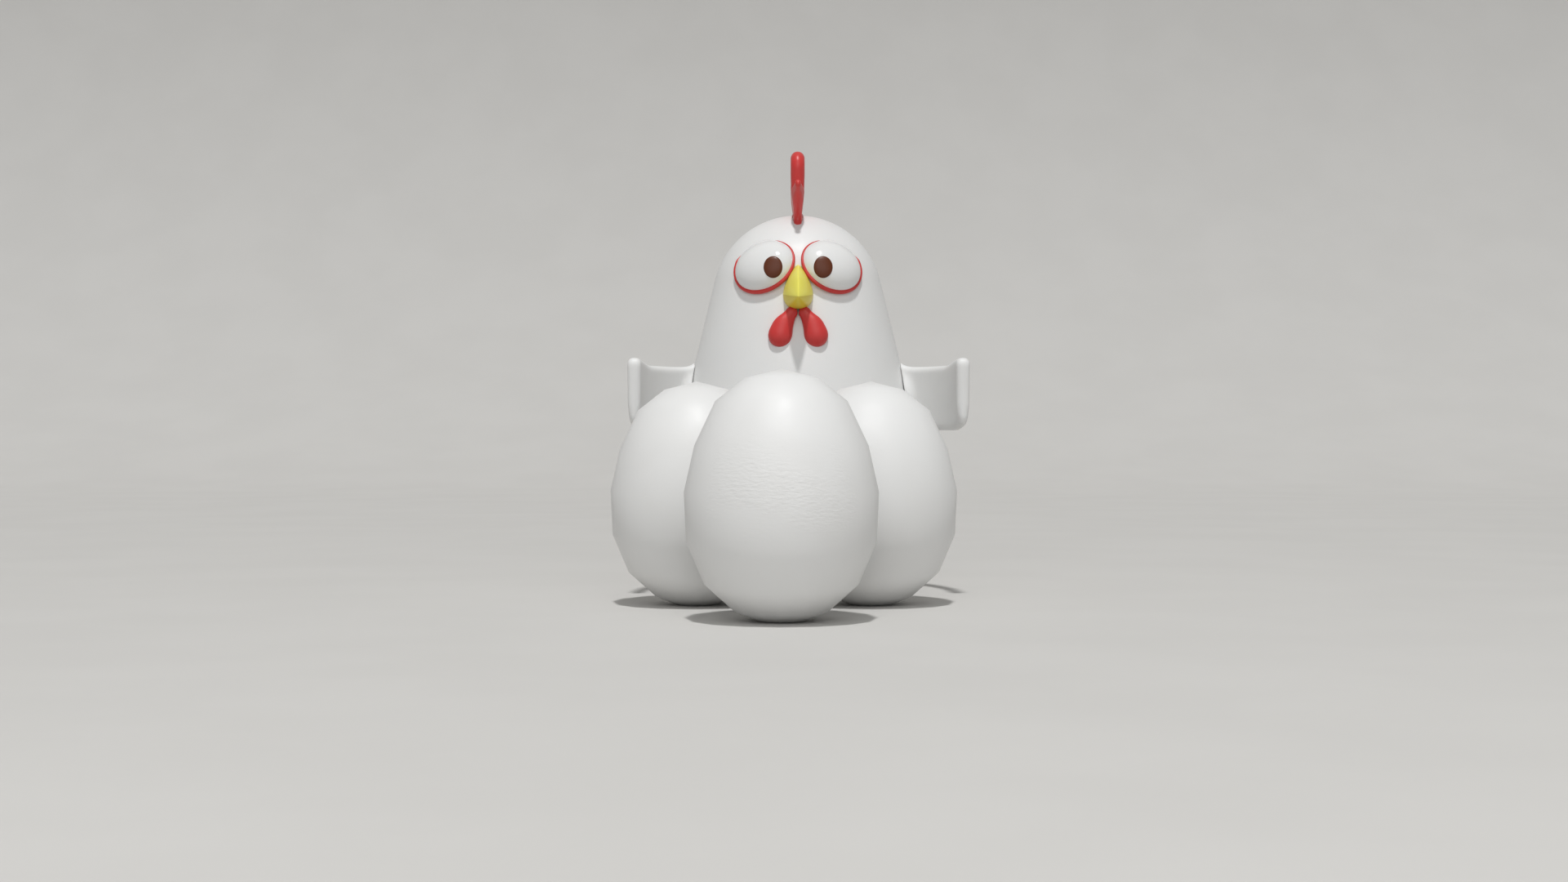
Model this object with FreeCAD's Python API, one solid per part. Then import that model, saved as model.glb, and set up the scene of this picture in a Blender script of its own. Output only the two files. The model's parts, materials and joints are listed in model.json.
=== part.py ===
"""A squeaky vinyl hen with three loose eggs, as separate solids, one STEP file per sub-part.

Millimetres. The hen stands on the floor at z = 0, on the Z axis, and faces -Y. +X is the hen's left.
"""

import FreeCAD, Part
import math
import os
from FreeCAD import Vector

# Hen's shell: a round head on a flared cone, with a belly and a flat base
HEAD_R = 23.9
HEAD_Z = 79.8
FLARE_DEG = 13.66
CONE_LENGTH = 38.5
BELLY_R = 120.0
CORNER_R = 9.0
WALL = 2.0

# Base closure and squeaker
BASE_HOLE_R = 16.0
BASE_LIP_R = 17.6
BASE_LIP_H = 1.2
SOUND_HOLE_R = 1.1
SOUND_RING_R = 4.5
SOUND_HOLES = 6
SQUEAKER_R = 8.0
SQUEAKER_H = 9.0
SQUEAKER_WALL = 1.0
REED_TUBE_R = 2.2
REED_BORE_R = 1.4
REED_TUBE_H = 8.0
REED_WIDTH = 2.6
REED_THICK = 0.3

# Tail: one piece of fanned lobes at the back (tilt from vertical, length), with a plug in the wall
TAIL_ROOT = Vector(0, 24.0, 34.0)
TAIL_LOBES = [(12, 42.0), (36, 45.0), (60, 38.0)]
TAIL_HALF_WIDTH = 5.5
TAIL_HALF_DEPTH = 8.0
TAIL_PLUG_Z = 40.0
TAIL_PLUG_R = 3.0
TAIL_PLUG_END_Y = 26.0

# Eyes: a flattened ball and its rim, each on an axis of its own on the head's sphere
EYE_AZIMUTH = 24.9
EYE_ELEVATION = 21.0
EYE_AXIS_AZIMUTH = 29.4
EYE_AXIS_ELEVATION = 26.8
EYE_ROLL = 11.0
EYE_SINK = 1.0
EYE_HALF_LONG = 8.7
EYE_HALF_SHORT = 7.8
EYE_HALF_DEEP = 5.0
RIM_TUBE_R = 0.6
RIM_OUT = 0.2
EYE_STEM_R = 1.8
EYE_STEM_LENGTH = 4.0
EYE_WASHER_R = 5.0
EYE_WASHER_T = 0.8
EYE_WASHER_DEPTH = 2.4
PUPIL_X = 6.75
PUPIL_Z = 87.5
PUPIL_HALF_W = 2.65
PUPIL_HALF_H = 3.1
PUPIL_PROUD = 0.25
PUPIL_DEPTH = 1.2

# Beak: two mandibles that meet at the gape
BEAK_TIP_Y = -37.0
GAPE_TIP_Z = 78.9
GAPE_FACE_Z = 80.4
BEAK_FACE_Y = -23.0
BEAK_ROOT_Y = -19.0
BEAK_HALF_WIDTH = 4.15
BEAK_TOP = 7.6
BEAK_BOTTOM = 4.2
BEAK_BOW = (0.74, 0.47)
BEAK_PLUG_R = 2.6
BEAK_PLUG_END_Y = -15.5

# Wattles: two lobes that hang below the beak
WATTLE_ROOT = Vector(2.3, -26.6, 76.0)
WATTLE_LENGTH = 10.7
WATTLE_R = 3.3
WATTLE_TOP_R = 2.1
WATTLE_FLAT = 0.72
WATTLE_SPLAY = 20.3
WATTLE_PARTING = 0.03
WATTLE_PEG_DROP = 2.4
WATTLE_PEG_R = 0.9
WATTLE_PEG_LENGTH = 7.0

# Comb: three fingers on a round root, held by a tab and a clip inside the crown; circles are (y, z, r)
COMB_T = 3.4
COMB_ROOT = (-1.0, 95.0, 12.9)
COMB_FINGERS = [
    ((-6.0, 104.0, 5.0), (-19.8, 110.4, 1.6)),
    ((-1.0, 104.0, 5.0), (-3.5, 116.6, 4.7)),
    ((4.5, 103.0, 4.5), (11.5, 111.5, 3.4)),
]
COMB_TAB_Y = (-6.0, 5.0)
COMB_TAB_T = 2.4
COMB_TAB_DEPTH = 6.5
CLIP_LENGTH = 17.0
CLIP_WIDTH = 8.0
CLIP_T = 1.4

# Wings: bent plates on a swivelling neck with a flange inside the shell
WING_Z = 52.5
WING_AZIMUTH = 10.0
WING_ARC_1 = [(26.0, 1.5), (34.8, -12.5), (40.8, -26.5)]
WING_ARC_2 = [(40.8, -26.5), (43.1, -36.5), (43.7, -47.6)]
WING_T = 3.0
WING_EDGE_R = 1.0
WING_BOTTOM = 43.6
WING_TOP = 61.0
WING_TIP_RISE = 1.3
WING_GAP = 0.35
NECK_R = 3.2
NECK_CLEARANCE = 0.05
NECK_OUT = 2.0
FLANGE_R = 6.0
FLANGE_T = 1.5
FLANGE_GAP = 0.9

# Eggs: sixteen-sided, eight bands high, fat end down; each ring of corners is (z, radius).
# Each egg's place is (x, y, size).
EGG_RINGS = [
    (2.0, 10.7), (8.2, 17.7), (18.1, 21.9), (29.5, 22.4), (40.2, 20.0), (50.4, 15.2), (55.7, 8.4)
]
EGG_HEIGHT = 57.8
EGG_SIDES = 16
EGG_FOOT_R = 5.5
EGG_WALL = 1.8
EGG_PLUG_R = 4.0
EGG_PLUG_H = 3.4
EGG_WEIGHT_R = 8.5
EGG_WEIGHT_H = 5.0
EGG_SMALL = 0.9665
EGG_PLACES = {
    "front": (-4.4, -112.5, 1.0), "left": (18.0, -65.0, EGG_SMALL), "right": (-25.7, -65.0, EGG_SMALL)
}

UP = Vector(0, 0, 1)
SIDES = {"left": 1, "right": -1}
HEAD_CENTRE = Vector(0, 0, HEAD_Z)


def write(name, shape):
    """Exports one sub-part and prints its volume."""
    shape.exportStep(f"parts/{name}.step")
    print(f"{name}: {len(shape.Solids)} solid, {shape.Volume:.1f} mm3, valid {shape.isValid()}")


def direction(azimuth_deg, elevation_deg):
    """Unit vector from the head's centre: azimuth from -Y towards +X, elevation above the horizon."""
    a = math.radians(azimuth_deg)
    e = math.radians(elevation_deg)
    return Vector(math.sin(a) * math.cos(e), -math.cos(a) * math.cos(e), math.sin(e))


def mirrored(shape, side):
    """The shape on the hen's left, or its mirror image on the right."""
    if side > 0:
        return shape
    return shape.mirror(Vector(0, 0, 0), Vector(1, 0, 0))


def rod(start, end, radius):
    """A round rod from start to end."""
    run = end - start
    return Part.makeCylinder(radius, run.Length, start, run)


def placed(shape, centre, x_axis, y_axis, z_axis):
    """Moves a shape made at the origin to centre, with its axes along the three given ones."""
    m = FreeCAD.Matrix(
        x_axis.x, y_axis.x, z_axis.x, centre.x,
        x_axis.y, y_axis.y, z_axis.y, centre.y,
        x_axis.z, y_axis.z, z_axis.z, centre.z,
        0, 0, 0, 1,
    )
    moved = shape.copy()
    moved.Placement = FreeCAD.Placement(m)
    return moved


def ellipsoid(a, b, c):
    """An ellipsoid at the origin, with half-axes a, b and c."""
    m = FreeCAD.Matrix()
    m.scale(a, b, c)
    return Part.makeSphere(1.0).transformGeometry(m)


# ---------------------------------------------------------------- shell


def body_form(inset):
    """The hen's body of revolution, inset from its outside by that much, from z = inset up."""
    flare = math.radians(FLARE_DEG)
    normal = Vector(math.cos(flare), 0, math.sin(flare))
    down = Vector(math.sin(flare), 0, -math.cos(flare))
    head_end = HEAD_CENTRE + normal * HEAD_R
    belly_centre = head_end + down * CONE_LENGTH - normal * BELLY_R
    drop = math.asin((belly_centre.z - CORNER_R) / (BELLY_R - CORNER_R))
    corner_normal = Vector(math.cos(drop), 0, -math.sin(drop))
    corner_centre = belly_centre + corner_normal * (BELLY_R - CORNER_R)
    head_r = HEAD_R - inset
    belly_r = BELLY_R - inset
    corner_r = CORNER_R - inset

    def on_arc(centre, radius, angle):
        return centre + Vector(math.cos(angle), 0, math.sin(angle)) * radius

    top = HEAD_CENTRE + UP * head_r
    head_mid = on_arc(HEAD_CENTRE, head_r, (math.pi / 2 + flare) / 2)
    cone_top = HEAD_CENTRE + normal * head_r
    cone_end = belly_centre + normal * belly_r
    belly_mid = on_arc(belly_centre, belly_r, (flare - drop) / 2)
    belly_end = belly_centre + corner_normal * belly_r
    corner_mid = on_arc(corner_centre, corner_r, (-drop - math.pi / 2) / 2)
    base_edge = corner_centre - UP * corner_r
    base = Vector(0, 0, inset)
    edges = [
        Part.Arc(top, head_mid, cone_top).toShape(),
        Part.LineSegment(cone_top, cone_end).toShape(),
        Part.Arc(cone_end, belly_mid, belly_end).toShape(),
        Part.Arc(belly_end, corner_mid, base_edge).toShape(),
        Part.LineSegment(base_edge, base).toShape(),
        Part.LineSegment(base, top).toShape(),
    ]
    face = Part.Face(Part.Wire(edges))
    return face.revolve(Vector(0, 0, 0), UP, 360)


def flank_radius(z):
    """Outer radius of the cone at height z."""
    flare = math.radians(FLARE_DEG)
    top = HEAD_CENTRE.z + HEAD_R * math.sin(flare)
    return HEAD_R * math.cos(flare) + (top - z) * math.tan(flare)


def tail_lobes():
    """Three flattened lobes that fan out behind the body."""
    lobes = []
    for tilt_deg, length in TAIL_LOBES:
        tilt = math.radians(tilt_deg)
        along = Vector(0, math.sin(tilt), math.cos(tilt))
        across = Vector(0, math.cos(tilt), -math.sin(tilt))
        lobe = ellipsoid(TAIL_HALF_WIDTH, TAIL_HALF_DEPTH, length / 2)
        centre = TAIL_ROOT + along * (length / 2 - TAIL_HALF_DEPTH / 2)
        lobes.append(placed(lobe, centre, Vector(1, 0, 0), across, along))
    return lobes


def sound_hole_centres():
    for i in range(SOUND_HOLES):
        turn = 2 * math.pi * i / SOUND_HOLES
        yield Vector(SOUND_RING_R * math.cos(turn), SOUND_RING_R * math.sin(turn), 0)


def tail_plug():
    """The plug that holds the tail in the back."""
    start = Vector(0, flank_radius(TAIL_PLUG_Z) + TAIL_PLUG_R, TAIL_PLUG_Z)
    return rod(start, Vector(0, TAIL_PLUG_END_Y, TAIL_PLUG_Z), TAIL_PLUG_R)


def make_tail(body):
    """The fanned lobes, cut to the back, with their plug."""
    first, *others = tail_lobes()
    return first.fuse(others).cut(body).fuse(tail_plug()).removeSplitter()


def make_shell(cutters):
    """The hollow cast body, with every hole that another piece plugs into."""
    shell = body_form(0).cut(body_form(WALL))
    base_hole = Part.makeCylinder(BASE_HOLE_R, WALL * 2, Vector(0, 0, -WALL / 2))
    return shell.cut([base_hole] + cutters).removeSplitter()


# ---------------------------------------------------------------- base and squeaker


def make_base_plug():
    """The disc that closes the base, with a lip that snaps over the wall and holes for the sound."""
    plug = Part.makeCylinder(BASE_HOLE_R, WALL)
    lip = Part.makeCylinder(BASE_LIP_R, BASE_LIP_H, Vector(0, 0, WALL))
    holes = [Part.makeCylinder(SOUND_HOLE_R, 3 * WALL, c - UP) for c in sound_hole_centres()]
    return plug.fuse(lip).removeSplitter().cut(holes)


def make_squeaker():
    """Cup, reed tube and reed, standing on the base plug."""
    floor = WALL + BASE_LIP_H
    top = floor + SQUEAKER_H
    cup = Part.makeCylinder(SQUEAKER_R, SQUEAKER_H, Vector(0, 0, floor))
    hollow = Part.makeCylinder(
        SQUEAKER_R - SQUEAKER_WALL, SQUEAKER_H - SQUEAKER_WALL, Vector(0, 0, floor)
    )
    tube_start = Vector(0, 0, top - SQUEAKER_WALL - REED_TUBE_H / 2)
    tube = Part.makeCylinder(REED_TUBE_R, REED_TUBE_H, tube_start)
    bore = Part.makeCylinder(REED_BORE_R, REED_TUBE_H, tube_start)
    cup = cup.cut([hollow, tube])
    half_length = REED_TUBE_H / 2 - SQUEAKER_WALL / 2
    flat = Part.makeBox(
        2 * REED_TUBE_R, REED_TUBE_R, half_length, tube_start - Vector(REED_TUBE_R, 0, 0)
    )
    tube = tube.cut([bore, flat])
    reed_corner = tube_start - Vector(REED_WIDTH / 2, 0, 0)
    reed = Part.makeBox(REED_WIDTH, REED_THICK, half_length, reed_corner)
    return {"squeaker_cup": cup, "squeaker_reed_tube": tube, "squeaker_reed": reed}


# ---------------------------------------------------------------- eyes


def eye_frame():
    """Centre and axes of the left eye: along its long half-axis, its short one, and outwards."""
    out = direction(EYE_AXIS_AZIMUTH, EYE_AXIS_ELEVATION)
    level = UP.cross(out).normalize()
    upward = out.cross(level)
    roll = math.radians(EYE_ROLL)
    long_axis = level * -math.cos(roll) + upward * math.sin(roll)
    if long_axis.x > 0:
        long_axis = long_axis * -1
    short_axis = out.cross(long_axis)
    centre = HEAD_CENTRE + direction(EYE_AZIMUTH, EYE_ELEVATION) * (HEAD_R - EYE_SINK)
    return centre, long_axis, short_axis, out


def eye_ball_form(grow):
    """The left eye's flattened ball, grown all round by that much."""
    centre, long_axis, short_axis, out = eye_frame()
    ball = ellipsoid(EYE_HALF_LONG + grow, EYE_HALF_SHORT + grow, EYE_HALF_DEEP + grow)
    return placed(ball, centre, long_axis, short_axis, out)


def eye_stem(radius):
    """The stem that goes through the shell behind the left eye."""
    centre, _, _, out = eye_frame()
    return rod(centre, centre - out * EYE_STEM_LENGTH, radius)


def eye_washer():
    """The flat washer that grips the stem inside the head."""
    centre, _, _, out = eye_frame()
    front = centre - out * EYE_WASHER_DEPTH
    back = front - out * EYE_WASHER_T
    return rod(back, front, EYE_WASHER_R).cut(rod(back, front, EYE_STEM_R))


def eye_rim_form():
    """The ring round the left eye, swept round its oval."""
    centre, long_axis, short_axis, out = eye_frame()
    oval = Part.Ellipse(Vector(0, 0, 0), EYE_HALF_LONG, EYE_HALF_SHORT).toShape()
    start = Vector(EYE_HALF_LONG, 0, 0)
    section = Part.Wire(Part.makeCircle(RIM_TUBE_R, start, Vector(0, 1, 0)))
    ring = Part.Wire(oval).makePipeShell([section], True, True)
    return placed(Part.makeSolid(ring), centre + out * RIM_OUT, long_axis, short_axis, out)


def pupil_prism(grow):
    """An oval prism along Y through the left pupil."""
    oval = Part.Ellipse(Vector(0, 0, 0), PUPIL_HALF_H + grow, PUPIL_HALF_W + grow).toShape()
    prism = Part.Face(Part.Wire(oval)).extrude(Vector(0, 0, HEAD_R))
    return placed(
        prism, Vector(PUPIL_X, -HEAD_R * 2, PUPIL_Z), UP, Vector(1, 0, 0), Vector(0, 1, 0)
    )


def make_eye(head, beak):
    """The left eye's ball with its stem, pupil, rim and washer, fitted on the head."""
    proud = eye_ball_form(PUPIL_PROUD)
    recess_floor = eye_ball_form(PUPIL_PROUD - PUPIL_DEPTH)
    pupil = proud.common(pupil_prism(0)).cut(recess_floor)
    whole = eye_ball_form(0)
    ball = whole.cut(head).fuse(eye_stem(EYE_STEM_R)).cut([pupil, beak])
    rim = eye_rim_form().cut([head, whole, beak])
    return {
        "eyeball": largest(ball),
        "pupil": largest(pupil),
        "eye_rim": largest(rim),
        "eye_washer": eye_washer(),
    }


def largest(shape):
    """The largest solid of a shape, without the crumbs a cut leaves."""
    return max(shape.Solids, key=lambda s: s.Volume)


# ---------------------------------------------------------------- beak and wattles


def gape_height(y):
    """Height of the line where the mandibles meet, at that y."""
    share = (y - BEAK_FACE_Y) / (BEAK_TIP_Y - BEAK_FACE_Y)
    return GAPE_FACE_Z + share * (GAPE_TIP_Z - GAPE_FACE_Z)


def beak_section(y, size, rise, tip_side):
    """One mandible's outline at y: a flat gape and a bowed side each way up, or down, to the ridge."""
    z = gape_height(y)
    half = BEAK_HALF_WIDTH * size
    right = Vector(half, y, z)
    left = Vector(-half, y, z)
    ridge = Vector(0, y, z + tip_side * rise * size)
    bow_x = half * BEAK_BOW[0]
    bow_z = z + tip_side * rise * size * BEAK_BOW[1]
    edges = [
        Part.LineSegment(left, right).toShape(),
        Part.Arc(right, Vector(bow_x, y, bow_z), ridge).toShape(),
        Part.Arc(ridge, Vector(-bow_x, y, bow_z), left).toShape(),
    ]
    return Part.Wire(edges)


def mandible(rise, tip_side):
    """One half of the beak, from inside the face to the tip."""
    steps = [(BEAK_ROOT_Y, 1.08), (BEAK_FACE_Y, 1.0), (-28.5, 0.82), (-33.5, 0.5), (BEAK_TIP_Y, 0.1)]
    return Part.makeLoft([beak_section(y, s, rise, tip_side) for y, s in steps], True)


def make_beak(head):
    """Upper and lower mandible, the upper one with the plug that holds the beak in the face."""
    upper = mandible(BEAK_TOP, 1).cut(head)
    lower = mandible(BEAK_BOTTOM, -1).cut(head)
    plug_z = gape_height(BEAK_FACE_Y) + BEAK_PLUG_R
    plug = rod(Vector(0, BEAK_FACE_Y - 1, plug_z), Vector(0, BEAK_PLUG_END_Y, plug_z), BEAK_PLUG_R)
    return {"beak_upper": upper.fuse(plug).removeSplitter(), "beak_lower": lower}, plug


def wattle_form():
    """The left wattle: a flattened drop that hangs from its narrow end, splayed outwards."""
    ball_z = -(WATTLE_LENGTH - WATTLE_R)
    sine = (WATTLE_R - WATTLE_TOP_R) / -ball_z
    cosine = math.sqrt(1 - sine * sine)
    top = Vector(0, 0, WATTLE_TOP_R)
    top_side = Vector(WATTLE_TOP_R * cosine, 0, WATTLE_TOP_R * sine)
    ball_side = Vector(WATTLE_R * cosine, 0, ball_z + WATTLE_R * sine)
    bottom = Vector(0, 0, ball_z - WATTLE_R)
    half_turn = (math.pi / 2 + math.asin(sine)) / 2
    top_mid = Vector(math.sin(half_turn), 0, math.cos(half_turn)) * WATTLE_TOP_R
    ball_angle = math.asin(sine) - (math.pi / 2 + math.asin(sine)) / 2
    ball_mid = Vector(math.cos(ball_angle), 0, math.sin(ball_angle)) * WATTLE_R + Vector(0, 0, ball_z)
    edges = [
        Part.Arc(top, top_mid, top_side).toShape(),
        Part.LineSegment(top_side, ball_side).toShape(),
        Part.Arc(ball_side, ball_mid, bottom).toShape(),
        Part.LineSegment(bottom, top).toShape(),
    ]
    drop = Part.Face(Part.Wire(edges)).revolve(Vector(0, 0, 0), UP, 360)
    flatten = FreeCAD.Matrix()
    flatten.scale(1, WATTLE_FLAT, 1)
    drop = drop.transformGeometry(flatten)
    drop.rotate(Vector(0, 0, 0), Vector(0, -1, 0), WATTLE_SPLAY)
    drop.translate(WATTLE_ROOT)
    return drop


def wattle_peg():
    """The peg that holds the left wattle in the face."""
    splay = math.radians(WATTLE_SPLAY)
    start = WATTLE_ROOT + Vector(math.sin(splay), 0, -math.cos(splay)) * WATTLE_PEG_DROP
    return rod(start, start + Vector(0, WATTLE_PEG_LENGTH, 0), WATTLE_PEG_R)


def make_wattle(head, beak):
    """The left wattle with its peg, cut to the face, the beak and the middle plane."""
    other_side = Part.makeBox(50, 100, 100, Vector(WATTLE_PARTING - 50, -80, 30))
    return largest(wattle_form().cut([head, beak, other_side]).fuse(wattle_peg().cut(beak)))


# ---------------------------------------------------------------- comb


def comb_circle(y, z, radius):
    """A disc of the comb's thickness, across the middle plane."""
    return Part.makeCylinder(radius, COMB_T, Vector(-COMB_T / 2, y, z), Vector(1, 0, 0))


def comb_finger(low, high):
    """Two discs and the plate between their outer tangents."""
    run = Vector(0, high[0] - low[0], high[1] - low[1])
    along = Vector(run).normalize()
    across = along.cross(Vector(1, 0, 0))
    lean = math.asin((low[2] - high[2]) / run.Length)
    corners = []
    for side, ends in ((1, (low, high)), (-1, (high, low))):
        for y, z, radius in ends:
            edge = along * math.sin(lean) + across * (side * math.cos(lean))
            corners.append(Vector(-COMB_T / 2, y, z) + edge * radius)
    plate = Part.Face(Part.makePolygon(corners + corners[:1])).extrude(Vector(COMB_T, 0, 0))
    return plate.fuse([comb_circle(*low), comb_circle(*high)])


def make_comb(head):
    """The comb's fingers and root, and the tab that goes through the crown."""
    fingers = [comb_finger(low, high) for low, high in COMB_FINGERS]
    comb = comb_circle(*COMB_ROOT).fuse(fingers).removeSplitter().cut(head)
    return largest(comb).fuse(comb_tab()).removeSplitter()


def comb_tab():
    """The flat tab below the comb, through the slot in the crown."""
    start, end = COMB_TAB_Y
    bottom = HEAD_Z + HEAD_R - COMB_TAB_DEPTH
    return Part.makeBox(
        COMB_TAB_T, end - start, COMB_TAB_DEPTH + 0.5, Vector(-COMB_TAB_T / 2, start, bottom)
    )


def make_comb_clip():
    """The plate that grips the comb's tab under the crown."""
    middle = sum(COMB_TAB_Y) / 2
    reach = max(abs(middle - CLIP_LENGTH / 2), abs(middle + CLIP_LENGTH / 2))
    inner = HEAD_R - WALL
    corner = math.hypot(reach, CLIP_WIDTH / 2)
    top = HEAD_Z + math.sqrt(inner**2 - corner**2)
    clip = Part.makeBox(
        CLIP_WIDTH, CLIP_LENGTH, CLIP_T, Vector(-CLIP_WIDTH / 2, middle - CLIP_LENGTH / 2, top - CLIP_T)
    )
    return clip.cut(comb_tab())


# ---------------------------------------------------------------- wings


def wing_axis():
    """A point on the left flank and the swivel's direction there, square to the cone."""
    radius = flank_radius(WING_Z)
    a = math.radians(WING_AZIMUTH)
    flare = math.radians(FLARE_DEG)
    point = Vector(radius * math.cos(a), -radius * math.sin(a), WING_Z)
    out = Vector(
        math.cos(a) * math.cos(flare), -math.sin(a) * math.cos(flare), math.sin(flare)
    )
    return point, out


def arc_through(points, z):
    first, middle, last = [Vector(x, y, z) for x, y in points]
    return Part.Arc(first, middle, last).toShape()


def wing_plate():
    """The left wing's bent plate, with its side outline and rounded edges."""
    path = Part.Wire([arc_through(WING_ARC_1, 0), arc_through(WING_ARC_2, 0)])
    band = path.makeOffset2D(WING_T / 2, fill=False, openResult=True)
    other = path.makeOffset2D(-WING_T / 2, fill=False, openResult=True)
    ends = []
    for i in (0, -1):
        a = band.OrderedVertexes[i].Point
        b = other.OrderedVertexes[i].Point
        ends.append(Part.LineSegment(a, b).toShape())
    plan = Part.Wire(Part.__sortEdges__(band.Edges + other.Edges + ends))
    plate = Part.Face(plan).extrude(Vector(0, 0, WING_TOP + 10 * WING_TIP_RISE))
    outline = [
        (5, WING_BOTTOM - 0.3),
        (-39, WING_BOTTOM + 0.6),
        (-44, WING_BOTTOM + 3.2),
        (-46.6, WING_TOP - 1.5),
        (-46.2, WING_TOP + WING_TIP_RISE - 0.4),
        (-43.5, WING_TOP + WING_TIP_RISE),
        (-38, WING_TOP + 0.3),
        (-10, WING_TOP - 0.4),
        (5, WING_TOP + 1.2),
    ]
    points = [Vector(0, y, z) for y, z in outline]
    side = Part.Face(Part.makePolygon(points + points[:1])).extrude(Vector(80, 0, 0))
    return plate.common(side)


def make_wing():
    """The left wing, its root cut flat so that it turns clear of the flank, with neck and flange."""
    point, out = wing_axis()
    plate = wing_plate()
    plate = plate.makeFillet(WING_EDGE_R, plate.Edges)
    root_plane = point + out * WING_GAP
    plate = largest(plate.cut(rod(root_plane, root_plane - out * 2 * HEAD_R, 2 * HEAD_R)))
    neck_start = point - out * (WALL + FLANGE_GAP + FLANGE_T)
    flange_end = point - out * (WALL + FLANGE_GAP)
    neck = rod(neck_start, point + out * NECK_OUT, NECK_R)
    flange = rod(neck_start, flange_end, FLANGE_R)
    return plate.fuse([neck, flange]).removeSplitter()


def wing_hole():
    """The round hole in the left flank that the neck turns in."""
    point, out = wing_axis()
    return rod(point - out * 2 * WALL, point + out * 2 * WALL, NECK_R + NECK_CLEARANCE)


# ---------------------------------------------------------------- eggs


def faceted_egg(rings, tip_z):
    """A many-sided egg on a flat foot: rings of corners from the foot up, and a pointed cap."""
    corners = []
    for z, r in rings:
        turns = [2 * math.pi * k / EGG_SIDES for k in range(EGG_SIDES)]
        corners.append([Vector(r * math.cos(t), r * math.sin(t), z) for t in turns])
    corners.append([Vector(0, 0, tip_z)] * EGG_SIDES)
    outlines = [corners[0]]
    for low, high in zip(corners[:-2], corners[1:-1]):
        for k in range(EGG_SIDES):
            n = (k + 1) % EGG_SIDES
            outlines.append([low[k], low[n], high[n], high[k]])
    for k in range(EGG_SIDES):
        outlines.append([corners[-2][k], corners[-2][(k + 1) % EGG_SIDES], corners[-1][k]])
    faces = [Part.Face(Part.makePolygon(points + points[:1])) for points in outlines]
    solid = Part.makeSolid(Part.makeShell(faces))
    if solid.Volume < 0:
        solid.reverse()
    return solid


def egg_hollow(size):
    """The space inside an egg, flat-floored for the weight."""
    height = EGG_HEIGHT * size
    squeeze = (height - 2 * EGG_WALL) / height
    rings = [(EGG_PLUG_H, EGG_WEIGHT_R + 0.1)]
    for z, r in EGG_RINGS[1:]:
        rings.append((EGG_WALL + z * size * squeeze, r * size - 1.15 * EGG_WALL))
    return faceted_egg(rings, height - EGG_WALL)


def make_egg(size):
    """One egg: hollow shell, ballast weight on its floor and the plug in its foot."""
    hole = Part.makeCylinder(EGG_PLUG_R, 2 * EGG_PLUG_H, Vector(0, 0, -EGG_WALL))
    rings = [(0, EGG_FOOT_R)] + [(z * size, r * size) for z, r in EGG_RINGS]
    shell = faceted_egg(rings, EGG_HEIGHT * size).cut([egg_hollow(size), hole])
    weight = Part.makeCylinder(EGG_WEIGHT_R, EGG_WEIGHT_H, Vector(0, 0, EGG_PLUG_H))
    plug = Part.makeCylinder(EGG_PLUG_R, EGG_PLUG_H)
    return {"shell": largest(shell), "weight": weight, "plug": plug}


# ---------------------------------------------------------------- assembly


def main():
    os.makedirs("parts", exist_ok=True)
    head = body_form(0)
    mandibles, beak_plug = make_beak(head)
    beak = mandibles["beak_upper"].fuse(mandibles["beak_lower"])
    cutters = [beak_plug, comb_tab(), tail_plug()]
    for side in SIDES.values():
        for cutter in (eye_stem(EYE_STEM_R), wattle_peg(), wing_hole()):
            cutters.append(mirrored(cutter, side))
    write("body_shell", make_shell(cutters))
    write("base_plug", make_base_plug())
    for name, shape in {**make_squeaker(), **mandibles}.items():
        write(name, shape)
    write("tail", make_tail(head))
    write("comb", make_comb(head))
    write("comb_clip", make_comb_clip())
    pieces = make_eye(head, beak)
    pieces["wattle"] = make_wattle(head, beak)
    pieces["wing"] = make_wing()
    for side_name, side in SIDES.items():
        for name, shape in pieces.items():
            write(f"{name}_{side_name}", mirrored(shape, side))
    for place, (x, y, size) in EGG_PLACES.items():
        for name, shape in make_egg(size).items():
            write(f"egg_{place}_{name}", shape.translate(Vector(x, y, 0)))


main()
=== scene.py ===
"""Looks of a squeaky vinyl hen with three faceted eggs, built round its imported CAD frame.

Shapes are worked out in millimetres, in the frame of the CAD, and stored in metres.
"""

import itertools
import json
import math

import bpy
import numpy as np
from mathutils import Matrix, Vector


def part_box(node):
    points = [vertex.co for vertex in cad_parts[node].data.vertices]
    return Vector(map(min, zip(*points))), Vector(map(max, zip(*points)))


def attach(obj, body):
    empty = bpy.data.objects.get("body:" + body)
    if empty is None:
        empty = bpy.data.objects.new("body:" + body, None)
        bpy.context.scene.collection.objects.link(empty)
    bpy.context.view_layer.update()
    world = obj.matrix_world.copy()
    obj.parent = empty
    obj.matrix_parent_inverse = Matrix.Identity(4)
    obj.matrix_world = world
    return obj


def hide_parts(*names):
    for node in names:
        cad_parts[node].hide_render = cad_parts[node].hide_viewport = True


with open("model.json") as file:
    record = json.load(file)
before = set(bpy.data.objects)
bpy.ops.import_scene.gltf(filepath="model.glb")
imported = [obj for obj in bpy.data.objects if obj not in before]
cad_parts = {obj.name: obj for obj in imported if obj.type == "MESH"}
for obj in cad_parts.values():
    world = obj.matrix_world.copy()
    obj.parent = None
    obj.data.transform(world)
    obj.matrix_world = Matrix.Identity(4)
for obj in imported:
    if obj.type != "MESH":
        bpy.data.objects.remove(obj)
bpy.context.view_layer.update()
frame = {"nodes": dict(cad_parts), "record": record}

MM = 0.001

# ---------------------------------------------------------------- camera and light

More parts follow.
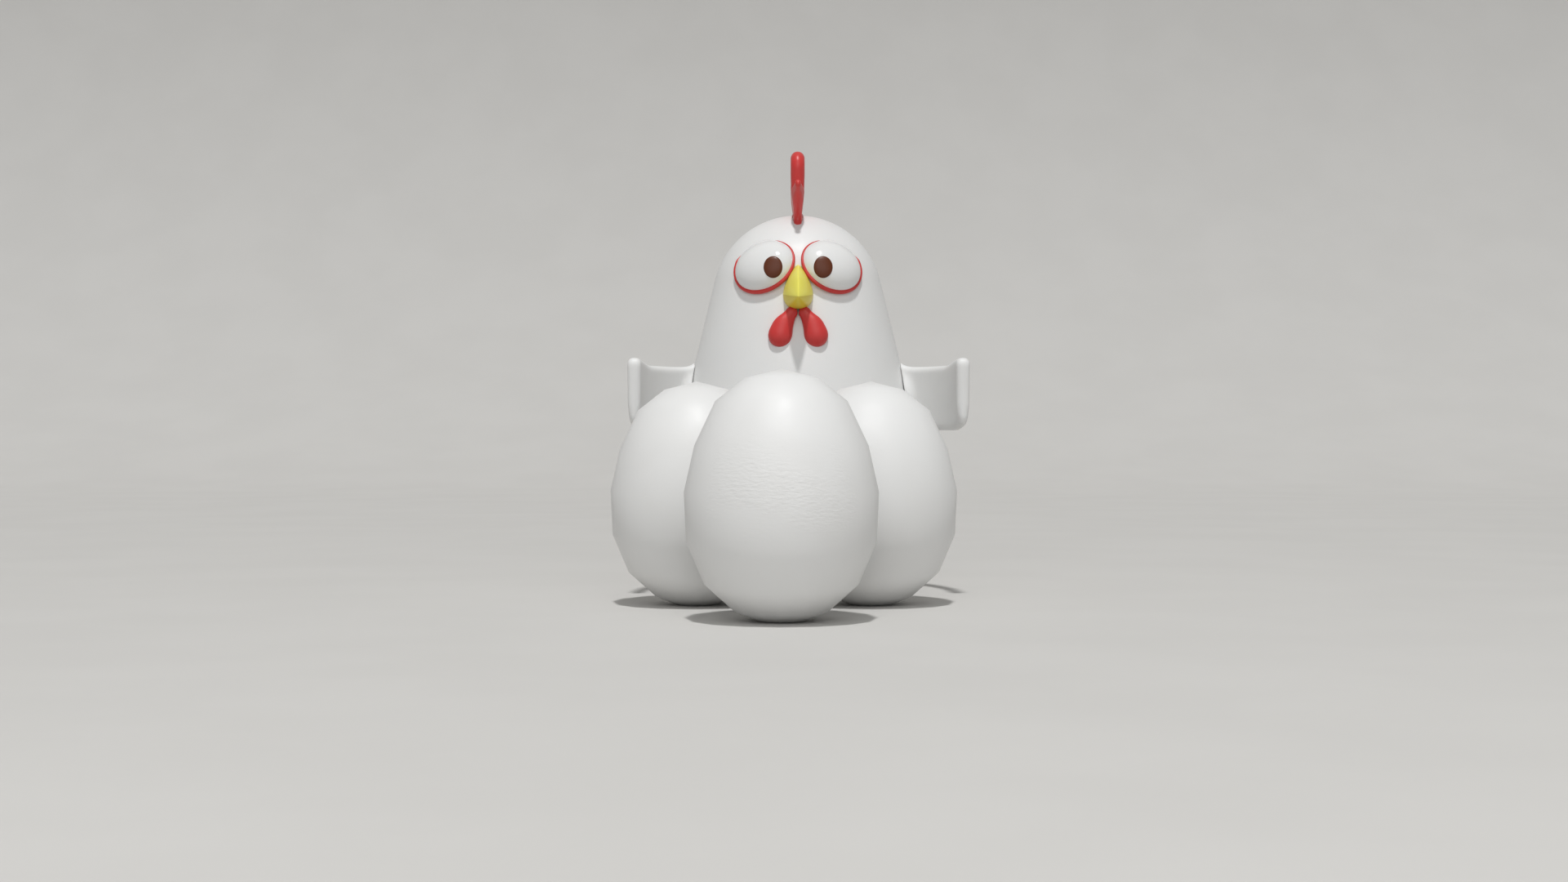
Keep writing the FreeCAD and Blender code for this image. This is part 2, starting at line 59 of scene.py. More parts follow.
CAMERA_PLACE = (-3.8, -612.0, 44.4)
CAMERA_PITCH_DEG = -0.365
LENS_MM = 50.0
SENSOR_MM = 36.0

WORLD_COLOUR = (0.96, 0.98, 1.0)
WORLD_STRENGTH = 0.27
KEY_TOWARDS = (2, -162, 460)
KEY_STRENGTH = 1.9
KEY_WIDTH_DEG = 3.5
FILL_PLACE = (0, -900, 500)
FILL_AIM = (0, 0, 50)
FILL_SIZE = 800
FILL_POWER = 2.2


def add_camera():
    data = bpy.data.cameras.new("camera")
    data.lens = LENS_MM
    data.sensor_width = SENSOR_MM
    data.clip_start = 0.01
    data.clip_end = 50.0
    camera = bpy.data.objects.new("camera", data)
    camera.location = Vector(CAMERA_PLACE) * MM
    camera.rotation_euler = (math.radians(90 + CAMERA_PITCH_DEG), 0, 0)
    bpy.context.scene.collection.objects.link(camera)
    bpy.context.scene.camera = camera


def add_area_light(name, place, aim, size, power):
    """A round soft light at place, turned to aim (both in millimetres)."""
    data = bpy.data.lights.new(name, "AREA")
    data.shape = "DISK"
    data.size = size * MM
    data.energy = power
    light = bpy.data.objects.new(name, data)
    light.location = Vector(place) * MM
    direction = Vector(aim) - Vector(place)
    light.rotation_euler = direction.to_track_quat("-Z", "Y").to_euler()
    bpy.context.scene.collection.objects.link(light)


def add_sun(name, towards, strength, width_deg):
    """A soft even light from far away in the given direction."""
    data = bpy.data.lights.new(name, "SUN")
    data.energy = strength
    data.angle = math.radians(width_deg)
    light = bpy.data.objects.new(name, data)
    light.rotation_euler = Vector(towards).to_track_quat("Z", "Y").to_euler()
    bpy.context.scene.collection.objects.link(light)


def add_world(colour, strength):
    world = bpy.data.worlds.new("studio")
    world.use_nodes = True
    background = world.node_tree.nodes["Background"]
    background.inputs["Color"].default_value = (*colour, 1)
    background.inputs["Strength"].default_value = strength
    bpy.context.scene.world = world


# ---------------------------------------------------------------- materials


class Shader:
    """A Principled material whose varied inputs come from procedural nodes."""

    def __init__(self, name, colour, roughness, **fixed):
        self.material = bpy.data.materials.new(name)
        self.material.use_nodes = True
        self.tree = self.material.node_tree
        self.surface = self.tree.nodes["Principled BSDF"]
        self.surface.inputs["Base Color"].default_value = (*colour, 1)
        self.surface.inputs["Roughness"].default_value = roughness
        for key, value in fixed.items():
            self.surface.inputs[key.replace("_", " ")].default_value = value
        self.place = self.node("ShaderNodeTexCoord").outputs["Object"]

    def node(self, kind, **inputs):
        made = self.tree.nodes.new(kind)
        for key, value in inputs.items():
            socket = made.inputs[key.replace("_", " ")]
            if isinstance(value, bpy.types.NodeSocket):
                self.tree.links.new(value, socket)
            else:
                socket.default_value = value
        return made

    def noise(self, scale_mm, detail=3.0, stretch=(1, 1, 1), seed=0.0):
        """Noise with features about scale_mm across, squeezed by stretch along each axis."""
        mapped = self.node("ShaderNodeMapping", Vector=self.place)
        mapped.inputs["Scale"].default_value = [s / (scale_mm * MM) for s in stretch]
        mapped.inputs["Location"].default_value = (seed, 2 * seed, 3 * seed)
        made = self.node("ShaderNodeTexNoise", Vector=mapped.outputs["Vector"], Scale=1.0, Detail=detail)
        return made.outputs["Fac"]

    def ramp(self, value, low, high, to_low, to_high):
        """Maps value from low..high to to_low..to_high, smoothly and clamped."""
        made = self.node("ShaderNodeMapRange", Value=value)
        made.interpolation_type = "SMOOTHSTEP"
        for key, number in (("From Min", low), ("From Max", high), ("To Min", to_low), ("To Max", to_high)):
            made.inputs[key].default_value = number
        return made.outputs["Result"]

    def math(self, operation, a, b):
        made = self.tree.nodes.new("ShaderNodeMath")
        made.operation = operation
        for socket, value in zip(made.inputs, (a, b)):
            if isinstance(value, bpy.types.NodeSocket):
                self.tree.links.new(value, socket)
            else:
                socket.default_value = value
        return made.outputs["Value"]

    def height_mm(self):
        """Height above the floor, in millimetres."""
        parts = self.node("ShaderNodeSeparateXYZ", Vector=self.place)
        return self.math("MULTIPLY", parts.outputs["Z"], 1 / MM)

    def tint(self, factor, colour):
        """Mixes colour over what the base colour has so far, by factor."""
        mix = self.tree.nodes.new("ShaderNodeMix")
        mix.data_type = "RGBA"
        base = self.surface.inputs["Base Color"]
        if base.is_linked:
            self.tree.links.new(base.links[0].from_socket, mix.inputs[6])
        else:
            mix.inputs[6].default_value = base.default_value
        mix.inputs[7].default_value = (*colour, 1)
        self.tree.links.new(factor, mix.inputs[0])
        self.tree.links.new(mix.outputs[2], base)
        return self

    def rough(self, factor, low, high):
        """Varies the roughness between low and high."""
        self.tree.links.new(self.ramp(factor, 0.3, 0.7, low, high), self.surface.inputs["Roughness"])
        return self

    def bump(self, height, distance_mm, strength=1.0):
        """Adds a bump on top of any bump the material has so far."""
        made = self.node("ShaderNodeBump", Height=height, Distance=distance_mm * MM, Strength=strength)
        normal = self.surface.inputs["Normal"]
        if normal.is_linked:
            self.tree.links.new(normal.links[0].from_socket, made.inputs["Normal"])
        self.tree.links.new(made.outputs["Normal"], normal)
        return self


def scaled(colour, share):
    return tuple(c * share for c in colour)


def vinyl(name, colour, roughness, shade, seed):
    """Cast vinyl: a soft gloss, faint cloudy colour, handling marks and a fine moulded grain."""
    made = Shader(name, colour, roughness, Specular_IOR_Level=0.42, Subsurface_Weight=0.03)
    made.surface.inputs["Subsurface Radius"].default_value = (0.002, 0.0015, 0.0012)
    made.tint(made.ramp(made.noise(26, 2, seed=seed), 0.35, 0.75, 0.0, 0.5), scaled(colour, shade))
    made.tint(made.ramp(made.noise(1.7, 4, seed=seed + 5), 0.62, 0.8, 0.0, 0.25), scaled(colour, shade))
    made.rough(made.noise(7, 5, seed=seed + 9), roughness - 0.05, roughness + 0.07)
    made.bump(made.noise(0.45, 2, seed=seed + 1), 0.012)
    made.bump(made.noise(9, 2, seed=seed + 2), 0.05)
    return made


def plastic(name, colour, roughness, seed, gloss=0.5):
    """Moulded plastic with a faint mottle and fine flow marks."""
    made = Shader(name, colour, roughness, Specular_IOR_Level=gloss)
    made.tint(made.ramp(made.noise(8, 3, seed=seed), 0.4, 0.7, 0.0, 0.6), scaled(colour, 0.94))
    made.rough(made.noise(5, 5, seed=seed + 4), roughness - 0.04, roughness + 0.06)
    made.bump(made.noise(0.6, 2, seed=seed + 1), 0.01)
    return made


def cast_iron(name):
    made = Shader(name, (0.13, 0.13, 0.135), 0.6, Metallic=0.9)
    made.tint(made.ramp(made.noise(3, 5), 0.5, 0.7, 0.0, 0.7), (0.16, 0.08, 0.04))
    made.rough(made.noise(2, 4, seed=3), 0.5, 0.75)
    made.bump(made.noise(0.8, 4, seed=4), 0.08)
    return made


def egg_white(name, seed):
    """White satin with fine, mostly level wrinkles over the middle of the front egg's front."""
    made = Shader(name, (0.8, 0.8, 0.79), 0.5, Specular_IOR_Level=0.45)
    made.tint(made.ramp(made.noise(22, 3, seed=seed), 0.4, 0.75, 0.0, 0.5), (0.76, 0.755, 0.74))
    made.tint(made.ramp(made.noise(1.3, 4, seed=seed + 2), 0.66, 0.8, 0.0, 0.2), (0.7, 0.69, 0.67))
    made.rough(made.noise(6, 5, seed=seed + 3), 0.45, 0.54)
    height = made.height_mm()
    band = made.math("MULTIPLY", made.ramp(height, 17, 28, 0, 1), made.ramp(height, 34, 46, 1, 0.05))
    depth = made.node("ShaderNodeSeparateXYZ", Vector=made.place).outputs["Y"]
    band = made.math("MULTIPLY", band, made.ramp(depth, -0.133, -0.122, 1.0, 0.05))
    patches = made.ramp(made.noise(14, 2, seed=seed + 8), 0.36, 0.58, 0.2, 1.0)
    wrinkles = made.noise(1.6, 4, stretch=(1, 1, 2.8), seed=seed + 4)
    made.bump(made.math("MULTIPLY", made.math("MULTIPLY", wrinkles, band), patches), 0.17, 0.8)
    made.bump(made.noise(0.5, 2, seed=seed + 6), 0.01)
    return made


def studio_paper(name):
    made = Shader(name, (0.6, 0.59, 0.57), 0.85, Specular_IOR_Level=0.2)
    made.tint(made.ramp(made.noise(60, 4), 0.3, 0.7, 0, 1), (0.585, 0.575, 0.555))
    return made


# ---------------------------------------------------------------- solid fields
# A field is negative inside a form, positive outside, and about the distance from it in millimetres.


def smooth_min(a, b, k):
    h = np.clip(0.5 + 0.5 * (b - a) / k, 0, 1)
    return b + (a - b) * h - k * h * (1 - h)


def smooth_max(a, b, k):
    return -smooth_min(-a, -b, k)


def ramped(value, span):
    """0 below zero, 1 above span, and straight between."""
    return np.clip(value / span, 0, 1)


def eased(share):
    """Softens both ends of a ramp from 0 to 1."""
    return share * share * (3 - 2 * share)


def unit(v):
    v = np.asarray(v, float)
    return v / np.linalg.norm(v)


def ball(p, centre, radius):
    return np.linalg.norm(p - centre, axis=1) - radius


def ellipsoid(p, centre, axes, halves):
    """An ellipsoid whose half-lengths lie along three unit axes."""
    q = (p - centre) @ np.array(axes).T
    k0 = np.linalg.norm(q / halves, axis=1)
    k1 = np.linalg.norm(q / np.square(halves), axis=1)
    return k0 * (k0 - 1) / np.maximum(k1, 1e-9)


def rod(p, start, end, radius, k=0.3):
    """A round rod with softened ends."""
    start = np.asarray(start, float)
    run = np.asarray(end, float) - start
    size = np.linalg.norm(run)
    along = (p - start) @ (run / size)
    across = np.linalg.norm(p - start - np.outer(along, run / size), axis=1) - radius
    return smooth_max(across, np.maximum(-along, along - size), k)


def round_cone(p, start, start_r, end, end_r):
    """A ball at each end and the skin drawn between them."""
    start = np.asarray(start, float)
    run = np.asarray(end, float) - start
    size = np.linalg.norm(run)
    axis = run / size
    along = (p - start) @ axis
    across = np.linalg.norm(p - start - np.outer(along, axis), axis=1)
    sine = (start_r - end_r) / size
    cosine = math.sqrt(1 - sine * sine)
    t = along - across * sine / cosine
    side = across * cosine + along * sine - start_r
    low = np.hypot(along, across) - start_r
    high = np.hypot(along - size, across) - end_r
    return np.where(t < 0, low, np.where(t > size, high, side))


def gradient(field, p, step=0.02):
    out = np.empty_like(p)
    for axis in range(3):
        shift = np.zeros(3)
        shift[axis] = step
        out[:, axis] = (field(p + shift) - field(p - shift)) / (2 * step)
    return out


def settle(field, p, rounds):
    """Moves points onto the surface."""
    for _ in range(rounds):
        g = gradient(field, p)
        size = np.maximum((g * g).sum(1), 0.05)
        p = p - g * np.clip(field(p) / size, -1, 1)[:, None]
    return p


def net(field, low, high, cell):
    """Points and four-sided faces over a field's surface, evened out and settled on it."""
    axes = [np.arange(a - cell, b + 2 * cell, cell) for a, b in zip(low, high)]
    grid = np.stack(np.meshgrid(*axes, indexing="ij"), -1)
    shape = grid.shape[:3]
    inside = field(grid.reshape(-1, 3)).reshape(shape) < 0
    count = np.zeros([n - 1 for n in shape], int)
    for i, j, k in itertools.product((0, 1), repeat=3):
        count += inside[i:shape[0] - 1 + i, j:shape[1] - 1 + j, k:shape[2] - 1 + k]
    mixed = (count > 0) & (count < 8)
    index = np.full(mixed.shape, -1)
    index[mixed] = np.arange(mixed.sum())
    points = grid[:-1, :-1, :-1][mixed] + cell / 2
    faces = []
    for axis in range(3):
        a = np.moveaxis(inside, axis, 0)
        cells = np.moveaxis(index, axis, 0)
        starts, ends = a[:-1, 1:-1, 1:-1], a[1:, 1:-1, 1:-1]
        quad = np.stack(
            [cells[:, :-1, :-1], cells[:, 1:, :-1], cells[:, 1:, 1:], cells[:, :-1, 1:]], -1
        )
        forward = axis != 1
        for chosen, flip in ((starts & ~ends, not forward), (~starts & ends, forward)):
            found = quad[chosen]
            faces.append(found[:, ::-1] if flip else found)
    faces = np.concatenate(faces)
    points = settle(field, points, 3)
    for _ in range(3):
        total = np.zeros_like(points)
        used = np.zeros(len(points))
        for corner in range(4):
            other = faces[:, (corner + 1) % 4]
            np.add.at(total, faces[:, corner], points[other])
            np.add.at(total, other, points[faces[:, corner]])
            np.add.at(used, faces[:, corner], 1)
            np.add.at(used, other, 1)
        points = 0.4 * points + 0.6 * total / used[:, None]
        points = settle(field, points, 2)
    return settle(field, points, 2), faces


# ---------------------------------------------------------------- pieces


def piece(name, points, faces, material, body, slot, replaces):
    """Makes a smooth-shaded piece from points in millimetres, and ties it to the frame."""
    mesh = bpy.data.meshes.new(name)
    mesh.from_pydata((np.asarray(points) * MM).tolist(), [], [list(map(int, f)) for f in faces])
    mesh.validate()
    mesh.polygons.foreach_set("use_smooth", [True] * len(mesh.polygons))
    mesh.materials.append(material.material)
    made = bpy.data.objects.new(name, mesh)
    bpy.context.scene.collection.objects.link(made)
    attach(made, body)
    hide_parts(*replaces)
    return made


def sharpen(made, angle_deg):
    """Splits a piece's shading along the edges that turn by more than the angle."""
    made.data.set_sharp_from_angle(angle=math.radians(angle_deg))


def mirrored(points, faces):
    return np.asarray(points) * (-1, 1, 1), [tuple(f)[::-1] for f in faces]


def pair(name, points, faces, material, body, slot):
    """The hen's left piece and its mirror image, each in place of its CAD node."""
    for side in ("left", "right"):
        if side == "right":
            points, faces = mirrored(points, faces)
        riding = f"{body}_{side}" if body != "hen" else body
        piece(f"{name}_{side}_look", points, faces, material, riding, slot, [f"{name}_{side}"])


def grid_faces(rows, columns, closed):
    """Faces of a grid of points, row by row, joined round its columns if closed."""
    faces = []
    for i in range(rows - 1):
        for j in range(columns if closed else columns - 1):
            n = (j + 1) % columns
            faces.append((i * columns + j, i * columns + n, (i + 1) * columns + n, (i + 1) * columns + j))
    return faces


# ---------------------------------------------------------------- body

HEAD_R = 23.9
HEAD_Z = 79.8
FLARE = math.radians(13.66)
CONE_LENGTH = 38.5
BELLY_R = 120.0
CORNER_R = 9.0
WALL = 2.0
BASE_HOLE_R = 16.0
HEAD_CENTRE = np.array([0, 0, HEAD_Z])

NORMAL = np.array([math.cos(FLARE), math.sin(FLARE)])
DOWN = np.array([math.sin(FLARE), -math.cos(FLARE)])
CONE_TOP = np.array([0, HEAD_Z]) + NORMAL * HEAD_R
BELLY_CENTRE = CONE_TOP + DOWN * CONE_LENGTH - NORMAL * BELLY_R
DROP = math.asin((BELLY_CENTRE[1] - CORNER_R) / (BELLY_R - CORNER_R))
CORNER_CENTRE = BELLY_CENTRE + np.array([math.cos(DROP), -math.sin(DROP)]) * (BELLY_R - CORNER_R)

TAIL_ROOT = np.array([0, 24.0, 34.0])
TAIL_LOBES = [(12, 42.0), (36, 45.0), (60, 38.0)]
TAIL_HALF_WIDTH = 5.5
TAIL_HALF_DEPTH = 8.0
TAIL_PLUG_Z = 40.0
TAIL_PLUG_R = 3.0
TAIL_SEAM = 0.03


def revolved(p):
    """The hen's round body: head, cone, belly, rounded corner and flat base."""
    q = np.stack([np.hypot(p[:, 0], p[:, 1]), p[:, 2]], 1)
    along = (q - (0, HEAD_Z)) @ DOWN
    head = np.hypot(q[:, 0], q[:, 1] - HEAD_Z) - HEAD_R
    cone = (q - CONE_TOP) @ NORMAL
    from_belly = q - BELLY_CENTRE
    belly = np.hypot(*from_belly.T) - BELLY_R
    corner = np.hypot(*(q - CORNER_CENTRE).T) - CORNER_R
    below = np.arctan2(from_belly[:, 1], from_belly[:, 0]) < -DROP
    foot = np.where(q[:, 0] < CORNER_CENTRE[0], -q[:, 1], corner)
    lower = np.where(below, foot, belly)
    return np.where(along < 0, head, np.where(along < CONE_LENGTH, cone, lower))


def tail(p):
    """Three fanned lobes with shallow grooves between them, a flared root and the plug in the back."""
    out = None
    for tilt_deg, size in TAIL_LOBES:
        tilt = math.radians(tilt_deg)
        along = np.array([0, math.sin(tilt), math.cos(tilt)])
        across = np.array([0, math.cos(tilt), -math.sin(tilt)])
        centre = TAIL_ROOT + along * (size / 2 - TAIL_HALF_DEPTH / 2)
        lobe = ellipsoid(p, centre, [(1, 0, 0), across, along], (TAIL_HALF_WIDTH, TAIL_HALF_DEPTH, size / 2))
        out = lobe if out is None else smooth_min(out, lobe, 1.2)
    back = revolved(p)
    out = out - 1.1 * np.exp(-np.maximum(back, 0) / 1.6)
    plug = rod(p, (0, 27, TAIL_PLUG_Z), (0, 34, TAIL_PLUG_Z), TAIL_PLUG_R - TAIL_SEAM)
    return np.minimum(smooth_max(out, TAIL_SEAM - back, 0.12), plug)


def flank_radius(z):
    return CONE_TOP[0] + (CONE_TOP[1] - z) * math.tan(FLARE)


WING_Z = 52.5
WING_AZIMUTH = math.radians(10)
WING_GAP = 0.08
NECK_R = 3.2
NECK_HOLE_R = 3.25
NECK_OUT = 2.0
FLANGE_R = 6.0
FLANGE_T = 1.5
FLANGE_GAP = 0.9
WING_OUT = np.array(
    [math.cos(WING_AZIMUTH) * math.cos(FLARE), -math.sin(WING_AZIMUTH) * math.cos(FLARE), math.sin(FLARE)]
)
WING_POINT = np.array(
    [flank_radius(WING_Z) * math.cos(WING_AZIMUTH), -flank_radius(WING_Z) * math.sin(WING_AZIMUTH), WING_Z]
)


def shell(p):
    """The cast body: its wall, the base opening and the two holes for the wings' necks."""
    outside = revolved(p)
    wall = smooth_max(outside, -(outside + WALL), 0.3)
    opening = np.maximum(np.hypot(p[:, 0], p[:, 1]) - BASE_HOLE_R, p[:, 2] - WALL * 2)
    folded = np.abs(p) * (1, 0, 0) + p * (0, 1, 1)
    neck = rod(folded, WING_POINT - WING_OUT * 4, WING_POINT + WING_OUT * 4, NECK_HOLE_R)
    return smooth_max(smooth_max(wall, -opening, 0.3), -neck, 0.3)


def make_body(material):
    points, faces = net(shell, (-37, -37, 0), (37, 37, 104), cell=1.0)
    piece("body_skin", points, faces, material, "hen", "white_vinyl", ["body_shell"])
    points, faces = net(tail, (-8, 24, 28), (8, 56, 74), cell=0.7)
    piece("tail_look", points, faces, material, "hen", "white_vinyl", ["tail"])


# ---------------------------------------------------------------- eyes

EYE_AZIMUTH = 24.9
EYE_ELEVATION = 21.0
EYE_AXIS_AZIMUTH = 29.4
EYE_AXIS_ELEVATION = 26.8
EYE_ROLL = 11.0
EYE_SINK = 1.0
EYE_HALVES = (8.7, 7.8, 5.0)
EYE_BACK_DEPTH = 1.0
EYE_MELT_SIDE = (0.38, 0.35, 0.85)
EYE_MELT_FROM = 0.6
EYE_MELT_OVER = 0.35
EYE_MELT_REACH_FROM = 3.5
EYE_MELT_REACH_OVER = 4.5
EYE_MELT_SINK = 0.3
EYE_MELT_BLEND = 2.0
EYE_MELT_SKIRT = 1.3
EYE_UNDER_SKIN = 0.03
RIM_THIN = 0.36
RIM_THICK = 0.72
RIM_OUT = 0.1
RIM_CLIMB = 1.1
RIM_CLIMB_AT_DEG = 198
RIM_CLIMB_SPREAD_DEG = 28
RIM_FADE_FROM = 0.12
RIM_FADE_OVER = 0.25
PUPIL_X = 6.75
PUPIL_Z = 87.5
PUPIL_HALVES = (2.65, 3.1)
PUPIL_PROUD = 0.25


def direction(azimuth_deg, elevation_deg):
    a = math.radians(azimuth_deg)
    e = math.radians(elevation_deg)
    return np.array([math.sin(a) * math.cos(e), -math.cos(a) * math.cos(e), math.sin(e)])


def eye_frame():
    """Centre and axes of the left eye: its long half, its short half, and outwards."""
    out = direction(EYE_AXIS_AZIMUTH, EYE_AXIS_ELEVATION)
    level = unit(np.cross((0, 0, 1), out))
    upward = np.cross(out, level)
    roll = math.radians(EYE_ROLL)
    long_axis = -level * math.cos(roll) + upward * math.sin(roll)
    if long_axis[0] > 0:
        long_axis = -long_axis
    short_axis = np.cross(out, long_axis)
    centre = HEAD_CENTRE + direction(EYE_AZIMUTH, EYE_ELEVATION) * (HEAD_R - EYE_SINK)
    return centre, [long_axis, short_axis, out]


def eyeball(p):
    """A flattened ball that melts into the head at its upper outer side."""
    centre, axes = eye_frame()
    form = ellipsoid(p, centre, axes, EYE_HALVES)
    out = axes[2]
    flat = (p - centre) - np.outer((p - centre) @ out, out)
    reach = np.linalg.norm(flat, axis=1)
    side = flat @ unit(EYE_MELT_SIDE) / np.maximum(reach, 1e-6)
    melt = ramped(side - EYE_MELT_FROM, EYE_MELT_OVER)
    melt = eased(melt * ramped(reach - EYE_MELT_REACH_FROM, EYE_MELT_REACH_OVER))
    head = ball(p, HEAD_CENTRE, HEAD_R)
    form = form + EYE_MELT_SINK * melt
    joined = smooth_min(form, head + EYE_UNDER_SKIN, 0.1 + EYE_MELT_BLEND * melt)
    joined = smooth_max(joined, form - EYE_MELT_SKIRT, 0.3)
    whole = np.where(melt > 0, joined, form)
    return smooth_max(whole, -(head + EYE_BACK_DEPTH), 0.3)


def make_eyes(white, brown, red):
    centre, axes = eye_frame()
    points, faces = net(eyeball, centre - 11.5, centre + 11.5, cell=0.35)
    pair("eyeball", points, faces, white, "hen", "eye_white")
    pair("pupil", *pupil_patch(centre, axes), brown, "hen", "pupil_brown")
    pair("eye_rim", *rim_tube(centre, axes), red, "hen", "red_vinyl")


def pupil_patch(centre, axes):
    """A domed oval patch that stands a little proud of the eyeball, with a rolled edge."""
    rings, turns = 14, 64
    points = []
    for i in range(rings + 1):
        share = max(i / rings, 0.01)
        for j in range(turns):
            t = 2 * math.pi * j / turns
            x = PUPIL_X + PUPIL_HALVES[0] * share * math.cos(t)
            z = PUPIL_Z + PUPIL_HALVES[1] * share * math.sin(t)
            lift = PUPIL_PROUD * math.sqrt(max(0, 1 - share**8)) - 0.15 * (i == rings)
            points.append(cast(centre, axes, x, z, lift))
    faces = [f[::-1] for f in grid_faces(rings + 1, turns, True)]
    faces.append(tuple(range(turns)))
    return np.array(points), faces


def cast(centre, axes, x, z, lift):
    """The front point of the eyeball, lifted by that much, at that x and z."""
    halves = np.array(EYE_HALVES) + lift
    scale = np.array(axes) / halves[:, None]
    start = scale @ (np.array([x, 0, z]) - centre)
    run = scale @ np.array([0, 1, 0])
    a = run @ run
    b = 2 * start @ run
    c = start @ start - 1
    return np.array([x, (-b - math.sqrt(max(b * b - 4 * a * c, 0))) / (2 * a), z])


def rim_tube(centre, axes):
    """A bead along the eye's oval, thickest below, that climbs the outer side and runs out in the head."""
    turns, sides = 128, 14
    points = []
    for i in range(turns):
        t = 2 * math.pi * i / turns
        rise = RIM_CLIMB * math.exp(-(((math.degrees(t) - RIM_CLIMB_AT_DEG) / RIM_CLIMB_SPREAD_DEG) ** 2))
        level = math.sqrt(1 - (rise / EYE_HALVES[2]) ** 2)
        middle = np.array([EYE_HALVES[0] * level * math.cos(t), EYE_HALVES[1] * level * math.sin(t), RIM_OUT])
        outward = unit([math.cos(t) / EYE_HALVES[0], math.sin(t) / EYE_HALVES[1], 0])
        sunk = max(HEAD_R - np.linalg.norm(centre + middle @ np.array(axes) - HEAD_CENTRE), 0)
        fade = min(max((sunk - RIM_FADE_FROM) / RIM_FADE_OVER, 0), 1)
        middle[2] += sunk * (1 - fade) + rise
        below = 0.5 - 0.5 * (outward @ np.array(axes))[2]
        radius = (RIM_THIN + (RIM_THICK - RIM_THIN) * below**1.5) * (1 - 0.6 * fade)
        for j in range(sides):
            s = 2 * math.pi * j / sides
            q = middle + radius * (outward * math.cos(s) + np.array([0, 0, 1]) * math.sin(s))
            points.append(centre + q @ np.array(axes))
    faces = []
    for i in range(turns):
        for j in range(sides):
            n = (j + 1) % sides
            a, b = i * sides, (i + 1) % turns * sides
            faces.append((a + j, b + j, b + n, a + n))
    return np.array(points), faces


# ---------------------------------------------------------------- beak

BEAK_TIP_Y = -37.0
GAPE_TIP_Z = 78.9
GAPE_FACE_Z = 80.4
BEAK_FACE_Y = -23.0
BEAK_ROOT_Y = -20.0
BEAK_HALF_WIDTH = 4.15
BEAK_TOP = 7.9
BEAK_BOTTOM = 4.2


def gape_height(y):
    share = (y - BEAK_FACE_Y) / (BEAK_TIP_Y - BEAK_FACE_Y)
    return GAPE_FACE_Z + share * (GAPE_TIP_Z - GAPE_FACE_Z)


def mandible(rise, side, arch):
    """One half of the beak: an arch in section, narrowing along a bowed ridge to the tip."""
    rows, columns = 41, 49
    points = []
    for i in range(rows):
        run = i / (rows - 1)
        y = BEAK_ROOT_Y + (BEAK_TIP_Y - BEAK_ROOT_Y) * run
        share = max(0, (BEAK_FACE_Y - y) / (BEAK_FACE_Y - BEAK_TIP_Y))
        size = max((1 - share**1.75) ** 0.92, 0.02)
        base = gape_height(y)
        for j in range(columns):
            u = 2 * j / (columns - 1) - 1
            points.append((BEAK_HALF_WIDTH * size * u, y, base + side * rise * size * arch(abs(u), share)))
        for j in range(1, columns - 1):
            u = 1 - 2 * j / (columns - 1)
            points.append((BEAK_HALF_WIDTH * size * u, y, base))
    loop = 2 * columns - 2
    faces = grid_faces(rows, loop, True)
    faces.append(tuple(range(loop))[::-1])
    faces.append(tuple(range((rows - 1) * loop, rows * loop)))
    if side < 0:
        faces = [tuple(f)[::-1] for f in faces]
    return np.array(points), faces


def upper_arch(u, share):
    """Bowed sides that meet in a soft ridge, a little sharper towards the tip."""
    ridge = 1.4 - 0.2 * share
    return (1 - u**ridge) ** 0.72


def lower_arch(u, _):
    """A full, round-cornered trough."""
    return (1 - u**2.5) ** 0.5


def make_beak(upper, lower):
    for name, shape, paint, slot in (
        ("beak_upper", mandible(BEAK_TOP, 1, upper_arch), upper, "yellow_vinyl"),
        # The lower mandible's darker yellow is partly painted shade from the upper mandible over it, and
        # partly its own more orange tone.
        ("beak_lower", mandible(BEAK_BOTTOM, -1, lower_arch), lower, "dark_yellow_vinyl"),
    ):
        made = piece(f"{name}_look", *shape, paint, "hen", slot, [name])
        sharpen(made, 62)


# ---------------------------------------------------------------- wattles and comb

WATTLE_TOP = np.array([1.75, -26.4, 75.2])
WATTLE_BEND = np.array([4.15, -26.8, 71.6])
WATTLE_END = np.array([4.87, -27.0, 69.06])
WATTLE_TOP_R = 1.6
WATTLE_BEND_R = 2.1
WATTLE_END_R = 3.2
WATTLE_FLAT = 0.72
WATTLE_PARTING = 0.03


def wattle(p):
    """A bent drop, flattened from front to back, with a peg into the head."""
    q = p * (1, 1 / WATTLE_FLAT, 1) + (0, WATTLE_END[1] * (1 - 1 / WATTLE_FLAT), 0)
    upper = round_cone(q, WATTLE_TOP, WATTLE_TOP_R, WATTLE_BEND, WATTLE_BEND_R)
    lower = round_cone(q, WATTLE_BEND, WATTLE_BEND_R, WATTLE_END, WATTLE_END_R)
    drop = smooth_min(upper, lower, 2.4)
    peg = rod(p, WATTLE_TOP, WATTLE_TOP + (0, 4, 0), 1.0)
    return smooth_max(smooth_min(drop, peg, 1.0), -(p[:, 0] - WATTLE_PARTING), 0.2)


def make_wattles(material):
    points, faces = net(wattle, (0, -31, 64), (10, -20, 79), cell=0.3)
    pair("wattle", points, faces, material, "hen", "red_vinyl")


COMB_ROOT = (-1.0, 95.0, 12.9)
COMB_FINGERS = [
    ((-6.0, 104.0, 5.0), (-19.7, 110.5, 1.2)),
    ((-1.0, 104.0, 5.0), (-3.5, 116.6, 4.7)),
    ((4.5, 103.0, 4.5), (11.5, 111.5, 3.4)),
]
COMB_WIDTHS = [
    (101.0, 2.2), (103.2, 2.35), (104.6, 2.5), (106.6, 3.05), (108.6, 3.5), (110.6, 3.65), (114.6, 3.9)
]


